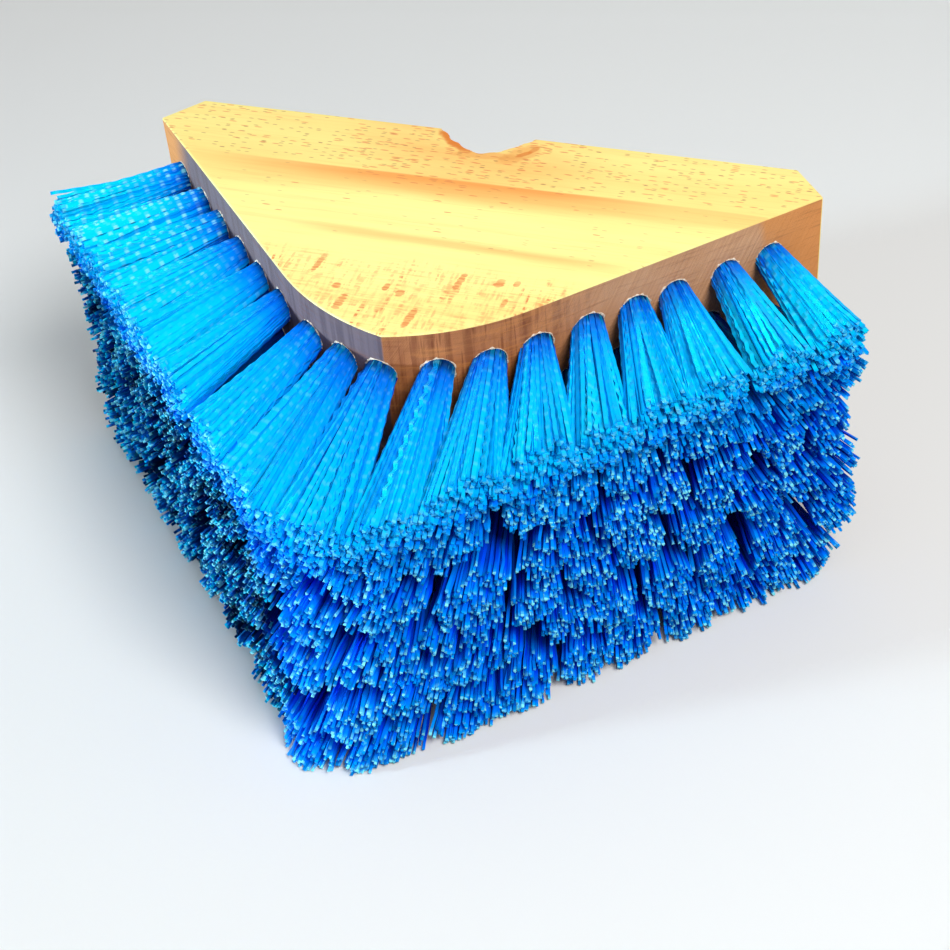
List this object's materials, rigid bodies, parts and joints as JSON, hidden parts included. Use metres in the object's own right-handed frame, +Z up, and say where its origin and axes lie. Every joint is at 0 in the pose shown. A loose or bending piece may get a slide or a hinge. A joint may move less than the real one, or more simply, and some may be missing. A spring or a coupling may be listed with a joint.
{
  "type": "baseboard brush",
  "caption": "Wedge-shaped wooden brush block with staggered rows of stiff blue bristle tufts in its two slanted side faces and nose, and a slanted socket for a long handle in its back.",
  "frame": {"origin": "on the underside of the block, midway from side to side and halfway between the back face and the trimmed nose of the bristles", "axes": "+Z up through the block, -Y towards the nose, +X to the right of someone who looks at the nose"},
  "size_m": [0.2196, 0.1413, 0.092],
  "materials": {
    "beech": "bare planed and sanded beech, side faces left sawn",
    "bristle": "crimped polymer filament, satin",
    "anchor_steel": "plain flat wire"
  },
  "bodies": {
    "root": {"brush_block": "beech", "top_tuft_01": "bristle", "top_tuft_02": "bristle", "top_tuft_03": "bristle", "top_tuft_04": "bristle", "top_tuft_05": "bristle", "top_tuft_06": "bristle", "top_tuft_07": "bristle", "top_tuft_08": "bristle", "top_tuft_09": "bristle", "top_tuft_10": "bristle", "top_tuft_11": "bristle", "top_tuft_12": "bristle", "top_tuft_13": "bristle", "top_tuft_14": "bristle", "top_tuft_15": "bristle", "top_tuft_16": "bristle", "top_tuft_17": "bristle", "second_tuft_01": "bristle", "second_tuft_02": "bristle", "second_tuft_03": "bristle", "second_tuft_04": "bristle", "second_tuft_05": "bristle", "second_tuft_06": "bristle", "second_tuft_07": "bristle", "second_tuft_08": "bristle", "second_tuft_09": "bristle", "second_tuft_10": "bristle", "second_tuft_11": "bristle", "second_tuft_12": "bristle", "second_tuft_13": "bristle", "second_tuft_14": "bristle", "second_tuft_15": "bristle", "second_tuft_16": "bristle", "third_row_left": "bristle", "third_row_right": "bristle", "fourth_row_left": "bristle", "fourth_row_right": "bristle", "fifth_row_left": "bristle", "fifth_row_right": "bristle", "sixth_row_left": "bristle", "sixth_row_right": "bristle", "top_anchor_01": "anchor_steel", "top_anchor_02": "anchor_steel", "top_anchor_03": "anchor_steel", "top_anchor_04": "anchor_steel", "top_anchor_05": "anchor_steel", "top_anchor_06": "anchor_steel", "top_anchor_07": "anchor_steel", "top_anchor_08": "anchor_steel", "top_anchor_09": "anchor_steel", "top_anchor_10": "anchor_steel", "top_anchor_11": "anchor_steel", "top_anchor_12": "anchor_steel", "top_anchor_13": "anchor_steel", "top_anchor_14": "anchor_steel", "top_anchor_15": "anchor_steel", "top_anchor_16": "anchor_steel", "top_anchor_17": "anchor_steel"}
  },
  "joints": []
}
